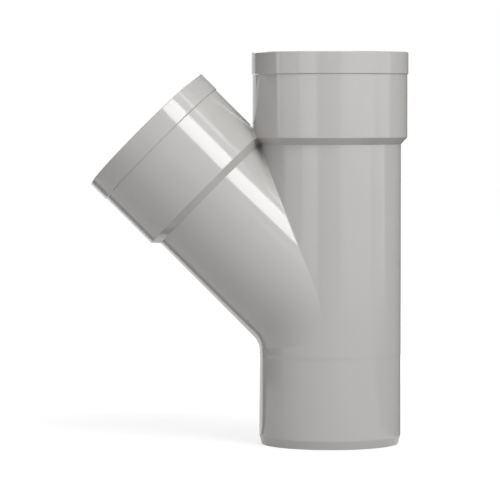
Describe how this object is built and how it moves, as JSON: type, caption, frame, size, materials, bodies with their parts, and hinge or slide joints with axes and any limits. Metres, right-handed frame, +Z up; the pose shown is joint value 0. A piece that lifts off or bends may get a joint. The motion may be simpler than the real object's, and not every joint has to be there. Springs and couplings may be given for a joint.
{
  "type": "forty-five degree branch fitting",
  "caption": "One-piece moulded plastic pipe fitting: a straight run with a spigot at one end and a socket at the other, and an equal branch with a socket leaving it at forty-five degrees.",
  "frame": {"origin": "centre of the spigot's end, on the run's axis", "axes": "+Z up along the run from the spigot to its socket; the branch rises towards -X at forty-five degrees; the part is symmetric about the XZ plane"},
  "size_m": [0.1123, 0.0554, 0.1384],
  "materials": {
    "pvc": "smooth glossy warm grey rigid PVC"
  },
  "bodies": {
    "root": {"branch_fitting": "pvc"}
  },
  "joints": []
}
